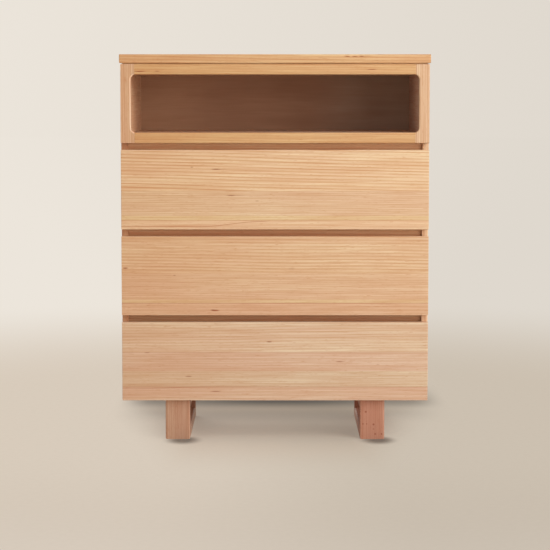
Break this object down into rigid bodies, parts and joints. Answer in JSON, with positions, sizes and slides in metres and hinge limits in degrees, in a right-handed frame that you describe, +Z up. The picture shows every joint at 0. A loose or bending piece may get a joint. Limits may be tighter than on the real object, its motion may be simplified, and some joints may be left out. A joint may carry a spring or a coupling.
{
  "type": "tallboy",
  "caption": "Timber tallboy with an open round-cornered niche over full-width handleless drawers on telescopic slides, standing on two mitred leg loops.",
  "frame": {"origin": "on the floor, under the middle of the top panel", "axes": "+X to the right seen from the front, +Y from the front to the back, +Z up"},
  "size_m": [0.9, 0.45, 1.1265],
  "materials": {
    "timber": "pale honey hardwood, satin oil",
    "lining_timber": "the same hardwood inside the niche and behind the finger gaps",
    "leg_timber": "redder hardwood, satin oil",
    "box_timber": "pale timber, sealed",
    "board": "veneered board",
    "steel": "zinc plated"
  },
  "bodies": {
    "carcass": {"top_panel": "timber", "side_panel_left": "timber", "side_panel_right": "timber", "bottom_panel": "timber", "niche_stile_left": "timber", "niche_stile_right": "timber", "niche_top_rail": "timber", "niche_bottom_rail": "timber", "niche_floor": "lining_timber", "niche_ceiling": "lining_timber", "niche_wall_left": "lining_timber", "niche_wall_right": "lining_timber", "finger_rail_1": "lining_timber", "finger_rail_2": "lining_timber", "finger_rail_3": "lining_timber", "back_panel": "board", "leg_left_front_post": "leg_timber", "leg_left_rear_post": "leg_timber", "leg_left_runner": "leg_timber", "leg_left_top_rail": "leg_timber", "leg_right_front_post": "leg_timber", "leg_right_rear_post": "leg_timber", "leg_right_runner": "leg_timber", "leg_right_top_rail": "leg_timber", "slide_1_left_cabinet_member": "steel", "slide_1_right_cabinet_member": "steel", "slide_2_left_cabinet_member": "steel", "slide_2_right_cabinet_member": "steel", "slide_3_left_cabinet_member": "steel", "slide_3_right_cabinet_member": "steel"},
    "drawer_1": {"drawer_1_front": "timber", "drawer_1_box_front": "box_timber", "drawer_1_side_left": "box_timber", "drawer_1_side_right": "box_timber", "drawer_1_back": "box_timber", "drawer_1_bottom": "board", "slide_1_left_drawer_member": "steel", "slide_1_right_drawer_member": "steel"},
    "slide_middle_1": {"slide_1_left_middle_member": "steel", "slide_1_right_middle_member": "steel"},
    "drawer_2": {"drawer_2_front": "timber", "drawer_2_box_front": "box_timber", "drawer_2_side_left": "box_timber", "drawer_2_side_right": "box_timber", "drawer_2_back": "box_timber", "drawer_2_bottom": "board", "slide_2_left_drawer_member": "steel", "slide_2_right_drawer_member": "steel"},
    "slide_middle_2": {"slide_2_left_middle_member": "steel", "slide_2_right_middle_member": "steel"},
    "drawer_3": {"drawer_3_front": "timber", "drawer_3_box_front": "box_timber", "drawer_3_side_left": "box_timber", "drawer_3_side_right": "box_timber", "drawer_3_back": "box_timber", "drawer_3_bottom": "board", "slide_3_left_drawer_member": "steel", "slide_3_right_drawer_member": "steel"},
    "slide_middle_3": {"slide_3_left_middle_member": "steel", "slide_3_right_middle_member": "steel"}
  },
  "joints": [
    {"name": "drawer_1_slide", "type": "slide", "parent": "carcass", "child": "drawer_1", "axis": [0, -1, 0], "range_m": [0, 0.39]},
    {"name": "slide_middle_1_travel", "type": "slide", "parent": "carcass", "child": "slide_middle_1", "axis": [0, -1, 0], "range_m": [0, 0.195]},
    {"name": "drawer_2_slide", "type": "slide", "parent": "carcass", "child": "drawer_2", "axis": [0, -1, 0], "range_m": [0, 0.39]},
    {"name": "slide_middle_2_travel", "type": "slide", "parent": "carcass", "child": "slide_middle_2", "axis": [0, -1, 0], "range_m": [0, 0.195]},
    {"name": "drawer_3_slide", "type": "slide", "parent": "carcass", "child": "drawer_3", "axis": [0, -1, 0], "range_m": [0, 0.39]},
    {"name": "slide_middle_3_travel", "type": "slide", "parent": "carcass", "child": "slide_middle_3", "axis": [0, -1, 0], "range_m": [0, 0.195]}
  ],
  "couplings": [
    {"joint": "slide_middle_1_travel", "follows": "drawer_1_slide", "ratio": 0.5},
    {"joint": "slide_middle_2_travel", "follows": "drawer_2_slide", "ratio": 0.5},
    {"joint": "slide_middle_3_travel", "follows": "drawer_3_slide", "ratio": 0.5}
  ]
}
